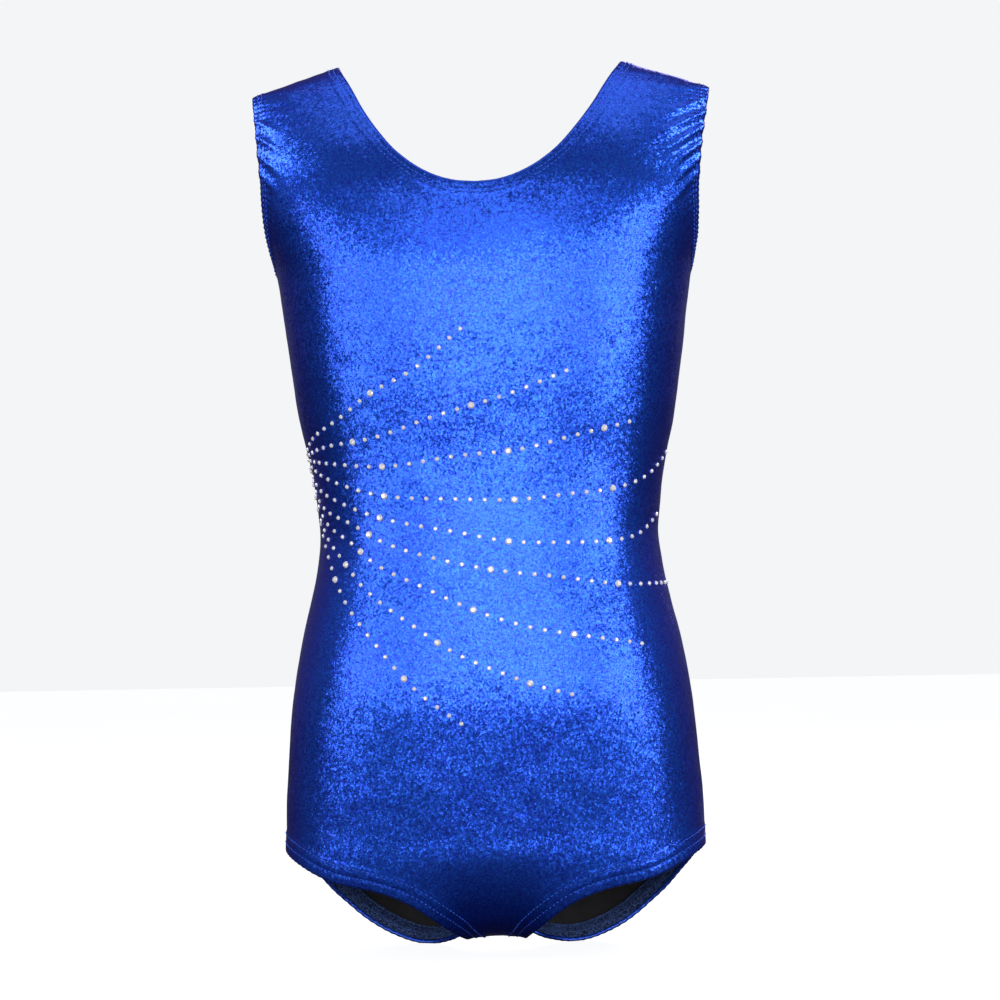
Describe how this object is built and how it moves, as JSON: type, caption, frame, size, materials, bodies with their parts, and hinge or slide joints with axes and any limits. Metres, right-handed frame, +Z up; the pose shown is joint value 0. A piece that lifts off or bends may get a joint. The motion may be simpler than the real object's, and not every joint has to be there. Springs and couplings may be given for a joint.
{
  "type": "gymnastics leotard",
  "caption": "Sleeveless stretch leotard with scooped neck, armholes and leg openings, elastic hems, and fans of flat-backed stones across the front.",
  "frame": {"origin": "on the garment's middle plane, midway between its front and back, at the height of the lowest leg hem", "axes": "+Z up towards the shoulders, +X to the viewer's right when facing the front, -Y towards the front"},
  "size_m": [0.2892, 0.1744, 0.5608],
  "materials": {
    "foil_knit": "metallic foil on four-way stretch knit, satin",
    "turned_hem": "turned-in edge of the same foil knit",
    "lining": "matt stretch lining",
    "elastic": "natural flat elastic",
    "thread": "textured polyester thread",
    "crystal": "silver-backed faceted crystal",
    "label_tape": "woven satin tape, blank"
  },
  "bodies": {
    "root": {"back_panel": "foil_knit", "care_label": "label_tape", "crotch_lining": "lining", "crotch_seam": "thread", "front_panel": "foil_knit", "label_tack": "thread", "large_rhinestones": "crystal", "left_arm_elastic": "elastic", "left_arm_hem": "turned_hem", "left_arm_stitching": "thread", "left_leg_elastic": "elastic", "left_leg_hem": "turned_hem", "left_leg_stitching": "thread", "left_shoulder_seam": "thread", "left_side_seam": "thread", "neck_elastic": "elastic", "neck_hem": "turned_hem", "neck_stitching": "thread", "right_arm_elastic": "elastic", "right_arm_hem": "turned_hem", "right_arm_stitching": "thread", "right_leg_elastic": "elastic", "right_leg_hem": "turned_hem", "right_leg_stitching": "thread", "right_shoulder_seam": "thread", "right_side_seam": "thread", "small_rhinestones": "crystal"}
  },
  "joints": []
}
